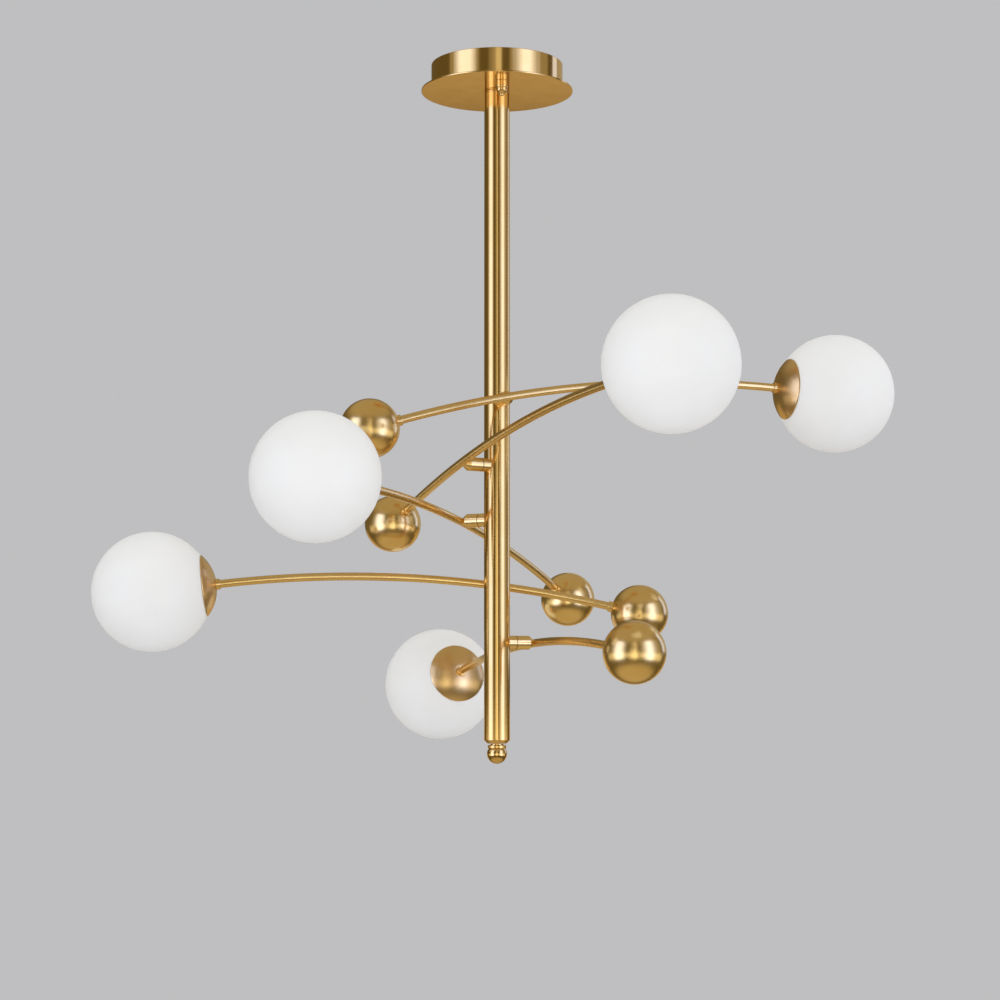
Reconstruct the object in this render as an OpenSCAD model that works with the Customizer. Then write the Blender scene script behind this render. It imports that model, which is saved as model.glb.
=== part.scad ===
// Branch chandelier: a canopy and a straight stem carry five curved arms.
// Each arm has an opal globe at one end and a ball at the other, and tilts on
// a short swivel that stands out of the stem.
// Frame: origin at the centre of the ceiling face, +Z up, +X to the right of
// the front view and +Y to the back. Lengths are in millimetres.

/* [Canopy] */
// Outer diameter of the canopy cup
canopy_d = 165; // [150:1:180]
// Height of the canopy cup below the ceiling
canopy_h = 32; // [30:1:40]
// Sheet thickness of the canopy cup
canopy_wall = 1.2; // [0.8:0.1:2]
// Diameter of the cover plate under the cup
plate_d = 190; // [184:1:220]
// Thickness of the cover plate
plate_t = 2; // [1.5:0.5:3]
// Bevel on the edge of the cover plate
plate_bevel = 0.4; // [0.2:0.1:0.6]

/* [Ceiling bracket] */
// Turn of the bracket about the stem, in degrees
bracket_turn = -83.5; // [-180:0.5:180]
// Width of the bracket strap
bracket_w = 26; // [24:1:32]
// Thickness of the bracket strap
bracket_t = 2; // [1.5:0.5:3]
// Distance between the two canopy studs
stud_spacing = 104; // [98:1:120]
// Diameter of the canopy studs
stud_d = 4; // [3:0.5:5]
// Distance between the two ceiling screw holes
screw_spacing = 76; // [72:1:84]
// Diameter of the ceiling screw holes
screw_hole_d = 5.5; // [4.5:0.5:6]

/* [Cap nuts] */
// Diameter of the cap nuts
cap_nut_d = 16; // [14:0.5:20]
// Height of the cap nuts
cap_nut_h = 19; // [17:0.5:24]
// Length of stud that each cap nut takes
cap_nut_grip = 11; // [8:0.5:12]

/* [Terminal block] */
// Number of poles
pole_count = 3; // [2:1:3]
// Width of one pole
pole_pitch = 8; // [7:0.5:8]
// Length of the block along the bracket
terminal_l = 16; // [14:0.5:20]
// Height of the block
terminal_h = 13; // [11:0.5:15]
// Distance from the stem axis to the block
terminal_offset = 10; // [9:0.5:12]

/* [Stem] */
// Outer diameter of the stem tube
stem_d = 32; // [30:0.5:36]
// Wall of the stem tube
stem_wall = 2; // [1.5:0.5:3]
// Drop from the ceiling to the lower end of the stem tube
stem_drop = 844; // [780:1:1000]
// Height of the visible rim of the top plug
plug_rim_h = 2; // [1.5:0.5:4]
// Depth that the plugs go into the stem tube
plug_depth = 16; // [12:1:24]
// Outer diameter of the threaded spigot on the top plug
spigot_d = 10; // [9:0.5:12]
// Wire bore through the spigot
spigot_bore_d = 7; // [6.5:0.5:7.5]
// Height of the spigot above the canopy floor
spigot_rise = 13; // [11:0.5:14]
// Width across the flats of the canopy nut
canopy_nut_af = 16; // [16:0.5:19]
// Height of the canopy nut
canopy_nut_h = 7.5; // [6:0.5:9]
// Diameter of the flange on the canopy nut
canopy_nut_flange_d = 22; // [21:0.5:26]

/* [Foot of the stem] */
// Height of the bevelled rim of the end cap
foot_h = 4; // [3:0.5:6]
// Diameter of the end cap's lower face
foot_d = 24; // [22:0.5:28]
// Diameter of the finial ball
finial_d = 24.6; // [20:0.2:28]
// Diameter of the ring above the finial ball
finial_ring_d = 22.8; // [20:0.2:24]
// Height of the ring above the finial ball
finial_ring_h = 3.5; // [3:0.5:5]
// Gap between the end cap and the ring
finial_neck_h = 2; // [1.5:0.5:3]
// Diameter of the stud on the finial
finial_stud_d = 6; // [5:0.5:8]

/* [Swivels] */
// Diameter of the swivel base and head
swivel_d = 17; // [16:0.5:20]
// Length of the fixed swivel base outside the stem
swivel_base_l = 8; // [7:0.5:12]
// Thickness of the friction washer
washer_t = 0.6; // [0.4:0.1:1]
// Diameter of the friction washer
washer_d = 16; // [13:0.5:16.5]
// Bevel on the two faces that meet at the washer
joint_bevel = 0.3; // [0.2:0.1:0.6]
// Distance from the washer to the axis of the arm tube
tube_offset = 28.4; // [26:0.2:32]
// Length of the straight part of the head
head_body_l = 17.6; // [14:0.2:19]
// Length of the cone that narrows the head to its tip
head_cone_l = 6; // [4:0.2:7]
// Diameter of the head's tip
head_tip_d = 8; // [7.5:0.1:9]
// Depth that the arm tube sinks into the tip
tube_sink = 1.5; // [1:0.1:1.8]
// Diameter of the pivot that the head turns on
pivot_d = 10; // [9:0.5:11]
// Length of the pivot
pivot_l = 8; // [6:0.5:8]
// Diameter of the shank through the stem wall
shank_d = 8; // [7:0.5:9]
// Wire bore through the swivel
swivel_bore_d = 5; // [4:0.5:5]
// Width across the flats of the nut inside the stem
swivel_nut_af = 13; // [13:0.5:15]
// Distance from the stem axis to the nut's inner face
swivel_nut_reach = 6.5; // [6:0.5:8]

/* [Arms] */
// Length of every arm, from ball centre to globe centre
arm_l = 615; // [580:1:660]
// Bend radius of the arm tube
arm_bend_r = 1420; // [1200:10:2000]
// Outer diameter of the arm tube
arm_tube_d = 10; // [9:0.5:11]
// Wall of the arm tube
arm_tube_wall = 1; // [0.8:0.1:1.5]
// Diameter of the turned-down ends of the arm tube
arm_end_d = 9.8; // [9.6:0.1:9.8]
// Diameter of the collars on the arm tube
collar_d = 13.5; // [12.5:0.5:15]
// Length of the collars
collar_l = 5; // [3:0.5:8]

/* [Arm 1] */
// Drop of the swivel below the ceiling
arm_1_drop = 426.5; // [421:0.5:432]
// Direction of the swivel about the stem, in degrees
arm_1_turn = -73.5; // [-78:0.5:-69]
// Tilt of the arm at the swivel, globe up, in degrees
arm_1_tilt = 11.1; // [6:0.1:14]
// Length on the ball's side of the swivel
arm_1_ball_side = 180; // [170:1:195]

/* [Arm 2] */
// Drop of the swivel below the ceiling
arm_2_drop = 506; // [501:0.5:511]
// Direction of the swivel about the stem, in degrees
arm_2_turn = -147.5; // [-151:0.5:-143]
// Tilt of the arm at the swivel, globe up, in degrees
arm_2_tilt = 17.5; // [12:0.1:19]
// Length on the ball's side of the swivel
arm_2_ball_side = 178; // [168:1:193]

/* [Arm 3] */
// Drop of the swivel below the ceiling
arm_3_drop = 573; // [568:0.5:578]
// Direction of the swivel about the stem, in degrees
arm_3_turn = 150; // [146:0.5:154]
// Tilt of the arm at the swivel, globe up, in degrees
arm_3_tilt = 11.1; // [6:0.1:14]
// Length on the ball's side of the swivel
arm_3_ball_side = 296; // [283:1:308]

/* [Arm 4] */
// Drop of the swivel below the ceiling
arm_4_drop = 652; // [647:0.5:657]
// Direction of the swivel about the stem, in degrees
arm_4_turn = 92.5; // [88:0.5:96]
// Tilt of the arm at the swivel, globe up, in degrees
arm_4_tilt = 7.2; // [2:0.1:10]
// Length on the ball's side of the swivel
arm_4_ball_side = 185; // [173:1:198]

/* [Arm 5] */
// Drop of the swivel below the ceiling
arm_5_drop = 724.5; // [719:0.5:730]
// Direction of the swivel about the stem, in degrees
arm_5_turn = 22.5; // [18:0.5:27]
// Tilt of the arm at the swivel, globe up, in degrees
arm_5_tilt = -1.9; // [-5:0.1:3]
// Length on the ball's side of the swivel
arm_5_ball_side = 278; // [268:1:290]

/* [End balls] */
// Diameter of the ball at the end of each arm
ball_d = 72; // [60:1:80]
// Wall of the hollow ball
ball_wall = 2.5; // [1.5:0.5:4]
// Diameter of the threaded boss inside the ball
ball_boss_d = 16; // [14:0.5:20]
// Length of arm tube that the boss takes
ball_grip = 12; // [8:1:18]

/* [Shade dishes] */
// Diameter of the dish that covers the globe's mouth
dish_d = 77; // [68:1:86]
// Depth of the dish
dish_depth = 15; // [13:0.5:18]
// Sheet thickness of the dish
dish_wall = 1; // [0.8:0.1:1.5]
// Flat at the middle of the dish, where the collar sits
dish_flat_d = 16; // [15:0.5:20]

/* [Globes] */
// Outer diameter of the globe
globe_d = 150; // [140:1:156]
// Glass thickness of the globe
globe_wall = 2.5; // [2:0.5:4]
// Diameter of the globe's mouth
mouth_d = 50; // [46:1:54]

/* [Lamps] */
// Length of the clip that holds the globe
clip_l = 58; // [56:1:62]
// Width of the clip
clip_w = 14; // [13:0.5:18]
// Thickness of the clip
clip_t = 1.2; // [1:0.1:2]
// Diameter of the lampholder's cap
holder_d = 24; // [22:0.5:28]
// Length of the lampholder
holder_l = 26; // [24:1:32]
// Length of thread between arm tube and lampholder
holder_grip = 8; // [6:0.5:9]
// Diameter of the lead inside the arm tube
lead_d = 3.6; // [2.5:0.1:5]
// Diameter of the bulb
bulb_d = 16; // [14:0.5:18]
// Length of the bulb
bulb_l = 46; // [40:1:60]
// Distance between the bulb's pins
pin_spacing = 9; // [8:0.5:9]

/* [Clearances] */
// Radial gap of threads, plugs and the pivot
fit_gap = 0.05; // [0.03:0.01:0.1]
// Radial gap of the clearance holes
hole_gap = 0.2; // [0.1:0.1:0.4]
// Gap between the glass and the metal that seats it
glass_gap = 0.3; // [0.2:0.1:0.5]

/* [Hidden] */
$fn = 96;
ARC_FN = 256;
ARMS = [1, 2, 3, 4, 5];

// One row per arm: drop, turn, tilt and length on the ball's side
ARM = [[arm_1_drop, arm_1_turn, arm_1_tilt, arm_1_ball_side],
       [arm_2_drop, arm_2_turn, arm_2_tilt, arm_2_ball_side],
       [arm_3_drop, arm_3_turn, arm_3_tilt, arm_3_ball_side],
       [arm_4_drop, arm_4_turn, arm_4_tilt, arm_4_ball_side],
       [arm_5_drop, arm_5_turn, arm_5_tilt, arm_5_ball_side]];
function drop(i) = ARM[i - 1][0];
function turn(i) = ARM[i - 1][1];
function tilt(i) = ARM[i - 1][2];
function ball_side(i) = ARM[i - 1][3];
function globe_side(i) = arm_l - ball_side(i);

// Colours of the materials
BRASS = [0.72, 0.54, 0.28];
STEEL = [0.62, 0.63, 0.65];
BLACK = [0.12, 0.12, 0.13];
CREAM = [0.9, 0.87, 0.8];
OPAL = [0.96, 0.96, 0.95];

// Heights of the canopy
floor_z = -canopy_h + canopy_wall;
plate_z = -canopy_h - plate_t;
stem_top_z = plate_z - plug_rim_h;
terminal_z = -bracket_t - terminal_h / 2;

// Radii and reaches of the stem and the swivels
stem_r = stem_d / 2;
stem_bore_r = stem_r - stem_wall;
washer_reach = stem_r + swivel_base_l;
head_reach = washer_reach + washer_t;
tube_reach = head_reach + tube_offset;
swivel_r = swivel_d / 2;
tube_seat_r = arm_tube_d / 2 + fit_gap;
head_l = tube_offset - tube_seat_r + tube_sink;

// The ball: its spot face carries the collar
ball_r = ball_d / 2;
ball_face = sqrt(pow(ball_r, 2) - pow(collar_d / 2 + hole_gap, 2));

// The dish: a spherical sheet with a flat middle, on the globe's own axis,
// measured from the globe's centre
globe_r = globe_d / 2;
dish_r = (pow(dish_d / 2, 2) + pow(dish_depth, 2)) / (2 * dish_depth);
dish_rim = sqrt(pow(globe_r + glass_gap, 2) - pow(dish_d / 2, 2)) + dish_wall;
dish_centre = dish_rim + dish_depth - dish_r;
dish_face = dish_centre + sqrt(pow(dish_r, 2) - pow(dish_flat_d / 2, 2));
dish_angle = asin(dish_d / 2 / dish_r);

// The clip, the lampholder and the bulb, on the same axis
glass_bore_r = globe_r - globe_wall;
clip_top = sqrt(pow(glass_bore_r, 2) - pow(clip_l / 2, 2)) - glass_gap;
holder_top = clip_top - clip_t;
holder_end = holder_top - holder_l;
tube_end = holder_top - holder_grip;
socket_depth = 4;
pin_d = 1.6;
pin_l = 6;
bulb_top = holder_end + socket_depth - hole_gap;

// The arm tube is straight and turned down from each collar to its end, and
// bent between the collars; an end runs into the bent part by a short lap
globe_straight = dish_face + collar_l;
ball_straight = ball_face + collar_l;
end_lap = 1;
end_step = (arm_tube_d - arm_end_d) / 2;
end_hole_r = arm_end_d / 2 + fit_gap;
function arc_deg(s) = s / arm_bend_r * 180 / PI;
function arc_start(i) = ball_straight - ball_side(i);
function arc_end(i) = globe_side(i) - globe_straight;

// Places ------------------------------------------------------------------

// Along the bracket, +X towards the front stud
module at_bracket() { rotate([0, 0, bracket_turn]) children(); }

// At both studs
module at_studs() {
    at_bracket()
        for (side = [-1, 1]) translate([side * stud_spacing / 2, 0, 0]) children();
}

// On the axis of a swivel, +X out of the stem
module at_swivel(i) {
    translate([0, 0, -drop(i)]) rotate([0, 0, turn(i)]) children();
}

// Where the arm tube crosses its swivel, +Y along the tube to the globe
module at_pivot(i) {
    at_swivel(i) translate([tube_reach, 0, 0]) rotate([tilt(i), 0, 0]) children();
}

// At a length s along the bent tube, +Y along it
module along(s) {
    translate([0, 0, -arm_bend_r]) rotate([-arc_deg(s), 0, 0])
        translate([0, 0, arm_bend_r]) children();
}

// At the centre of the globe or the ball, +Z towards the arm
module to_globe(i) {
    along(arc_end(i)) translate([0, globe_straight, 0]) rotate([90, 0, 0]) children();
}
module to_ball(i) {
    along(arc_start(i)) translate([0, -ball_straight, 0]) rotate([-90, 0, 0]) children();
}
module at_globe(i) { at_pivot(i) to_globe(i) children(); }
module at_ball(i) { at_pivot(i) to_ball(i) children(); }

// Shapes ------------------------------------------------------------------

// A tube or rod along +Z; bore 0 makes a rod
module ring(r, h, bore = 0) {
    linear_extrude(h) difference() {
        circle(r);
        if (bore > 0) circle(bore);
    }
}

// The same along +X
module ring_x(r, h, bore = 0) { rotate([0, 90, 0]) ring(r, h, bore); }

// A hexagon nut along +Z
module hex_nut(af, h, bore) {
    difference() {
        cylinder(r = af / sqrt(3), h = h, $fn = 6);
        translate([0, 0, -1]) cylinder(r = bore, h = h + 2);
    }
}

// A bent tube or rod from length s0 to length s1 of the arm
module bent(s0, s1, r, bore = 0) {
    translate([0, 0, -arm_bend_r]) rotate([0, -90, 0])
        rotate_extrude(angle = arc_deg(s1 - s0), start = arc_deg(s0), $fn = ARC_FN)
            translate([arm_bend_r, 0]) difference() {
                circle(r, $fn = 48);
                if (bore > 0) circle(bore, $fn = 48);
            }
}

// Canopy ------------------------------------------------------------------

module ceiling_bracket() {
    color(STEEL) at_bracket() translate([0, 0, -bracket_t])
        linear_extrude(bracket_t) difference() {
            union() {
                square([stud_spacing, bracket_w], center = true);
                for (side = [-1, 1])
                    translate([side * stud_spacing / 2, 0]) circle(bracket_w / 2);
            }
            for (side = [-1, 1]) {
                translate([side * stud_spacing / 2, 0]) circle(stud_d / 2 + fit_gap);
                translate([side * screw_spacing / 2, 0]) circle(screw_hole_d / 2);
            }
        }
}

module bracket_studs() {
    collar_h = 1.5;
    color(STEEL) at_studs() {
        translate([0, 0, plate_z - cap_nut_grip])
            ring(stud_d / 2, -plate_z + cap_nut_grip);
        translate([0, 0, -bracket_t - collar_h]) ring(stud_d / 2 + 1.5, collar_h);
    }
}

module terminal_block() {
    block_w = pole_count * pole_pitch;
    wire_r = 1.8;
    well_r = 1.9;
    well_depth = 3;
    color(CREAM) at_bracket()
        translate([terminal_offset, 0, terminal_z]) difference() {
            translate([0, -block_w / 2, -terminal_h / 2])
                cube([terminal_l, block_w, terminal_h]);
            for (p = [0:pole_count - 1])
                translate([0, (p - (pole_count - 1) / 2) * pole_pitch, 0]) {
                    translate([terminal_l - 6, 0, 0]) ring_x(wire_r, 7);
                    for (x = [terminal_l / 4, terminal_l * 3 / 4])
                        translate([x, 0, -terminal_h / 2 - 1])
                            ring(well_r, well_depth + 1);
                }
        }
}

module canopy_cup() {
    rim_round = 0.5;
    color(BRASS) difference() {
        rotate_extrude() {
            translate([0, -canopy_h]) square([canopy_d / 2, canopy_wall]);
            translate([canopy_d / 2 - canopy_wall, -canopy_h])
                square([canopy_wall, canopy_h - rim_round]);
            translate([canopy_d / 2 - canopy_wall, -rim_round])
                square([canopy_wall - rim_round, rim_round]);
            intersection() {
                translate([canopy_d / 2 - rim_round, -rim_round]) circle(rim_round);
                translate([canopy_d / 2 - rim_round, -rim_round]) square(rim_round);
            }
        }
        translate([0, 0, -canopy_h - 1])
            cylinder(r = spigot_d / 2 + hole_gap, h = canopy_wall + 2);
        at_studs() translate([0, 0, -canopy_h - 1])
            cylinder(r = stud_d / 2 + hole_gap, h = canopy_wall + 2);
    }
}

module canopy_plate() {
    edge = plate_d / 2;
    color(BRASS) difference() {
        rotate_extrude() polygon([
            [0, -canopy_h], [edge - plate_bevel, -canopy_h],
            [edge, -canopy_h - plate_bevel], [edge, plate_z + plate_bevel],
            [edge - plate_bevel, plate_z], [0, plate_z]]);
        translate([0, 0, plate_z - 1])
            cylinder(r = spigot_d / 2 + hole_gap, h = plate_t + 2);
        at_studs() translate([0, 0, plate_z - 1])
            cylinder(r = stud_d / 2 + hole_gap, h = plate_t + 2);
    }
}

// A round knob: a straight grip, a cone and a small tip
module cap_nuts() {
    r = cap_nut_d / 2;
    grip_h = 0.42 * cap_nut_h;
    tip_h = 0.82 * cap_nut_h;
    tip_r = 0.22 * cap_nut_d;
    bevel = 0.4;
    color(BRASS) at_studs() translate([0, 0, plate_z]) difference() {
        rotate_extrude() polygon([
            [0, 0], [r - bevel, 0], [r, -bevel], [r, -grip_h],
            [r - bevel, -grip_h - 2 * bevel], [tip_r, -tip_h],
            [tip_r, -cap_nut_h + 1.5 * bevel],
            [tip_r - 1.5 * bevel, -cap_nut_h], [0, -cap_nut_h]]);
        translate([0, 0, -cap_nut_grip - 1])
            cylinder(r = stud_d / 2 + fit_gap, h = cap_nut_grip + 2);
    }
}

module canopy_nut() {
    flange_t = 1.5;
    bore = spigot_d / 2 + fit_gap;
    color(STEEL) translate([0, 0, floor_z]) {
        ring(canopy_nut_flange_d / 2, flange_t, bore);
        translate([0, 0, flange_t]) hex_nut(canopy_nut_af, canopy_nut_h - flange_t, bore);
    }
}

// Stem --------------------------------------------------------------------

module stem_top_plug() {
    bore = spigot_bore_d / 2;
    plug_r = stem_bore_r - fit_gap;
    bevel = 0.4;
    color(BRASS) rotate_extrude() polygon([
        [bore, floor_z + spigot_rise], [spigot_d / 2, floor_z + spigot_rise],
        [spigot_d / 2, plate_z], [stem_r - bevel, plate_z],
        [stem_r, plate_z - bevel], [stem_r, stem_top_z + bevel],
        [stem_r - bevel, stem_top_z], [plug_r, stem_top_z],
        [plug_r, stem_top_z - plug_depth], [bore, stem_top_z - plug_depth]]);
}

module stem_tube() {
    color(BRASS) difference() {
        translate([0, 0, -stem_drop])
            ring(stem_r, stem_drop + stem_top_z, stem_bore_r);
        for (i = ARMS) at_swivel(i) translate([stem_bore_r - 3, 0, 0])
            rotate([0, 90, 0]) cylinder(r = shank_d / 2 + hole_gap, h = stem_wall + 6);
    }
}

module stem_end_cap() {
    bore = finial_stud_d / 2 + fit_gap;
    plug_r = stem_bore_r - fit_gap;
    color(BRASS) translate([0, 0, -stem_drop]) rotate_extrude() polygon([
        [bore, plug_depth], [plug_r, plug_depth], [plug_r, 0], [stem_r, 0],
        [foot_d / 2, -foot_h], [bore, -foot_h]]);
}

module finial() {
    ring_r = finial_ring_d / 2;
    ring_bevel = 0.6;
    ball_sink = 5.3;
    ball_drop = finial_neck_h + finial_ring_h + finial_d / 2 - ball_sink;
    stud_rise = 10;
    color(BRASS) translate([0, 0, -stem_drop - foot_h]) union() {
        translate([0, 0, -finial_neck_h]) ring(finial_stud_d / 2, finial_neck_h + stud_rise);
        translate([0, 0, -finial_neck_h - 1]) ring(ring_r * 0.7, finial_neck_h + 1);
        translate([0, 0, -finial_neck_h]) rotate_extrude() polygon([
            [0, 0], [ring_r - ring_bevel, 0], [ring_r, -ring_bevel],
            [ring_r, -finial_ring_h], [0, -finial_ring_h]]);
        translate([0, 0, -ball_drop]) sphere(finial_d / 2);
    }
}

// Main wires down the stem, with a branch into each swivel, and a sleeved
// bend into the terminal block
module wire_loom() {
    loom_r = 3;
    sleeve_r = 3.3;
    branch_r = 1.4;
    bend_r = 6;
    lap = 1;
    branch_reach = tube_reach - arm_tube_d / 2 + arm_tube_wall;
    low_z = -drop(5) - 8;
    color(BLACK) union() {
        translate([0, 0, low_z]) ring(loom_r, terminal_z - bend_r + lap - low_z);
        for (i = ARMS) at_swivel(i) ring_x(branch_r, branch_reach);
        at_bracket() {
            translate([bend_r, 0, terminal_z - bend_r]) rotate([90, 0, 0])
                rotate_extrude(angle = 90, start = 90)
                    translate([bend_r, 0]) circle(sleeve_r);
            translate([bend_r - lap, 0, terminal_z])
                ring_x(loom_r, terminal_offset - bend_r + lap);
        }
    }
}

// Swivels -----------------------------------------------------------------

// The fixed half: a saddle on the stem, a shank through its wall and a pivot
module swivel_base(i) {
    shank_end = swivel_nut_reach - 1;
    color(BRASS) at_swivel(i) difference() {
        union() {
            difference() {
                rotate([0, 90, 0]) rotate_extrude() polygon([
                    [0, 0], [swivel_r, 0], [swivel_r, washer_reach - joint_bevel],
                    [swivel_r - joint_bevel, washer_reach], [0, washer_reach]]);
                translate([0, 0, -swivel_d])
                    cylinder(r = stem_r + fit_gap, h = 2 * swivel_d);
            }
            translate([shank_end, 0, 0]) ring_x(shank_d / 2, washer_reach - shank_end);
            translate([washer_reach - 1, 0, 0]) ring_x(pivot_d / 2, pivot_l + 1);
        }
        translate([shank_end - 1, 0, 0])
            ring_x(swivel_bore_d / 2, washer_reach + pivot_l - shank_end + 2);
    }
}

module swivel_bases() { for (i = ARMS) swivel_base(i); }

// Nuts with a face that follows the bore of the stem
module swivel_nuts() {
    color(STEEL) for (i = ARMS) at_swivel(i) intersection() {
        translate([swivel_nut_reach, 0, 0]) rotate([0, 90, 0])
            hex_nut(swivel_nut_af, stem_bore_r - swivel_nut_reach, shank_d / 2 + fit_gap);
        translate([0, 0, -swivel_nut_af])
            cylinder(r = stem_bore_r - hole_gap, h = 2 * swivel_nut_af);
    }
}

module friction_washers() {
    color(BLACK) for (i = ARMS) at_swivel(i) translate([washer_reach, 0, 0])
        ring_x(washer_d / 2, washer_t, pivot_d / 2 + fit_gap);
}

// The turning half: a cone narrows it to a tip, where the arm tube lies across
module swivel_head(i) {
    tip_r = head_tip_d / 2;
    pivot_hole = pivot_l - washer_t + 0.4;
    color(BRASS) at_pivot(i) difference() {
        translate([-tube_offset, 0, 0]) difference() {
            rotate([0, 90, 0]) rotate_extrude() polygon([
                [0, 0], [swivel_r - joint_bevel, 0], [swivel_r, joint_bevel],
                [swivel_r, head_body_l], [tip_r, head_body_l + head_cone_l],
                [tip_r, head_l], [0, head_l]]);
            translate([-1, 0, 0]) ring_x(pivot_d / 2 + fit_gap, pivot_hole + 1);
            ring_x(swivel_bore_d / 2, tube_offset);
        }
        rotate([90, 0, 0]) translate([0, 0, -swivel_d])
            cylinder(r = tube_seat_r, h = 2 * swivel_d);
    }
}

// Arms --------------------------------------------------------------------

// A bent tube with straight ends and a wire hole at the swivel
module arm_tube(i) {
    r = arm_tube_d / 2;
    bore = r - arm_tube_wall;
    end_r = arm_end_d / 2;
    color(BRASS) at_pivot(i) union() {
        difference() {
            bent(arc_start(i), arc_end(i), r, bore);
            translate([-r - 1, 0, 0]) ring_x(swivel_bore_d / 2, r + 2);
        }
        to_globe(i) translate([0, 0, tube_end])
            ring(end_r, globe_straight + end_lap - tube_end, bore + end_step);
        to_ball(i) translate([0, 0, ball_face - ball_grip])
            ring(end_r, ball_straight + end_lap - ball_face + ball_grip,
                bore + end_step);
    }
}

module collar() {
    r = collar_d / 2;
    bevel = 0.6;
    rotate_extrude() polygon([
        [end_hole_r, 0], [r, 0], [r, collar_l - bevel], [r - bevel, collar_l],
        [end_hole_r, collar_l]]);
}

module arm_collars(i) {
    color(BRASS) {
        at_globe(i) translate([0, 0, dish_face]) collar();
        at_ball(i) translate([0, 0, ball_face]) collar();
    }
}

// A hollow ball with a blind boss for the tube and a spot face for the collar
module end_ball(i) {
    hole_end = ball_face - ball_grip - 0.5;
    boss_floor = 2;
    color(BRASS) at_ball(i) difference() {
        union() {
            difference() {
                sphere(ball_r);
                sphere(ball_r - ball_wall);
            }
            intersection() {
                translate([0, 0, hole_end - boss_floor])
                    cylinder(r = ball_boss_d / 2, h = ball_r);
                sphere(ball_r - ball_wall / 2);
            }
        }
        translate([0, 0, hole_end]) cylinder(r = end_hole_r, h = ball_r);
        translate([0, 0, ball_face]) cylinder(r = collar_d / 2 + hole_gap, h = ball_r);
    }
}

// A spun sheet: part of a sphere with its rim cut square to the sheet
module shade_dish(i) {
    cone_l = 2 * dish_r;
    flat_r = dish_flat_d / 2;
    color(BRASS) at_globe(i) difference() {
        union() {
            translate([0, 0, dish_centre]) rotate_extrude() difference() {
                intersection() {
                    circle(dish_r);
                    polygon([[0, 0], [cone_l * sin(dish_angle), cone_l * cos(dish_angle)],
                             [0, cone_l]]);
                    square([dish_r, dish_face - dish_centre]);
                }
                circle(dish_r - dish_wall);
            }
            translate([0, 0, dish_face - dish_wall]) ring(flat_r, dish_wall);
        }
        translate([0, 0, dish_face - 5]) cylinder(r = end_hole_r, h = 10);
    }
}

// Lamps -------------------------------------------------------------------

// A strap inside the globe that draws its mouth against the dish
module globe_clip(i) {
    color(STEEL) at_globe(i) translate([0, 0, holder_top])
        linear_extrude(clip_t) difference() {
            intersection() {
                circle(clip_l / 2);
                square([clip_l, clip_w], center = true);
            }
            circle(end_hole_r);
        }
}

// A two-pin lampholder with its lead, which runs in the arm tube
module lampholder(i) {
    r = holder_d / 2;
    neck_r = r - 1.5;
    cap_l = 10;
    lead_r = lead_d / 2;
    bore_end = tube_end - 0.5;
    color(CREAM) at_pivot(i) union() {
        to_globe(i) {
            difference() {
                rotate_extrude() polygon([
                    [0, holder_end], [neck_r, holder_end],
                    [neck_r, holder_top - cap_l - 1.5], [r, holder_top - cap_l],
                    [r, holder_top], [0, holder_top]]);
                translate([0, 0, bore_end]) cylinder(r = end_hole_r, h = holder_l);
                translate([0, 0, holder_end - 1])
                    cylinder(r = bulb_d / 2 + hole_gap, h = socket_depth + 1);
                for (side = [-1, 1]) translate([side * pin_spacing / 2, 0, holder_end])
                    cylinder(r = pin_d / 2 + hole_gap, h = socket_depth + pin_l + 0.5);
            }
            translate([0, 0, bore_end - 1])
                ring(lead_r - end_step, globe_straight + end_lap - bore_end + 1);
        }
        bent(0, arc_end(i), lead_r);
    }
}

module bulb(i) {
    r = bulb_d / 2;
    color(OPAL) at_globe(i) union() {
        translate([0, 0, bulb_top - bulb_l]) rotate_extrude() union() {
            translate([0, r]) square([r, bulb_l - r]);
            intersection() {
                translate([0, r]) circle(r);
                square([r, r]);
            }
        }
        for (side = [-1, 1]) translate([side * pin_spacing / 2, 0, bulb_top - 1])
            ring(pin_d / 2, pin_l + 1);
    }
}

module globe(i) {
    color(OPAL) at_globe(i) difference() {
        sphere(globe_r);
        sphere(glass_bore_r);
        cylinder(r = mouth_d / 2, h = globe_r + 1);
    }
}

ceiling_bracket();
bracket_studs();
terminal_block();
canopy_cup();
canopy_plate();
cap_nuts();
canopy_nut();
stem_top_plug();
stem_tube();
stem_end_cap();
finial();
wire_loom();
swivel_bases();
swivel_nuts();
friction_washers();
for (i = ARMS) {
    swivel_head(i);
    arm_tube(i);
    arm_collars(i);
    end_ball(i);
    shade_dish(i);
    globe_clip(i);
    lampholder(i);
    bulb(i);
    globe(i);
}
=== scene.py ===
# %% [markdown]
# # A branch chandelier in brass and opal glass
# A drum hangs under the ceiling, a straight stem drops from it, and five
# curved arms cross the stem on swivels. Each arm has an opal globe at one end
# and a brass ball at the other. This file dresses the engineering model:
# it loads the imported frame, makes a smoother and finer copy of each piece that
# shows, and gives every surface its own finish.
#
# Each step starts with a note like this one, then a short cell of code.

# %% Load the frame
import math

import bmesh
import bpy
from mathutils import Matrix, Vector


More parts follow.
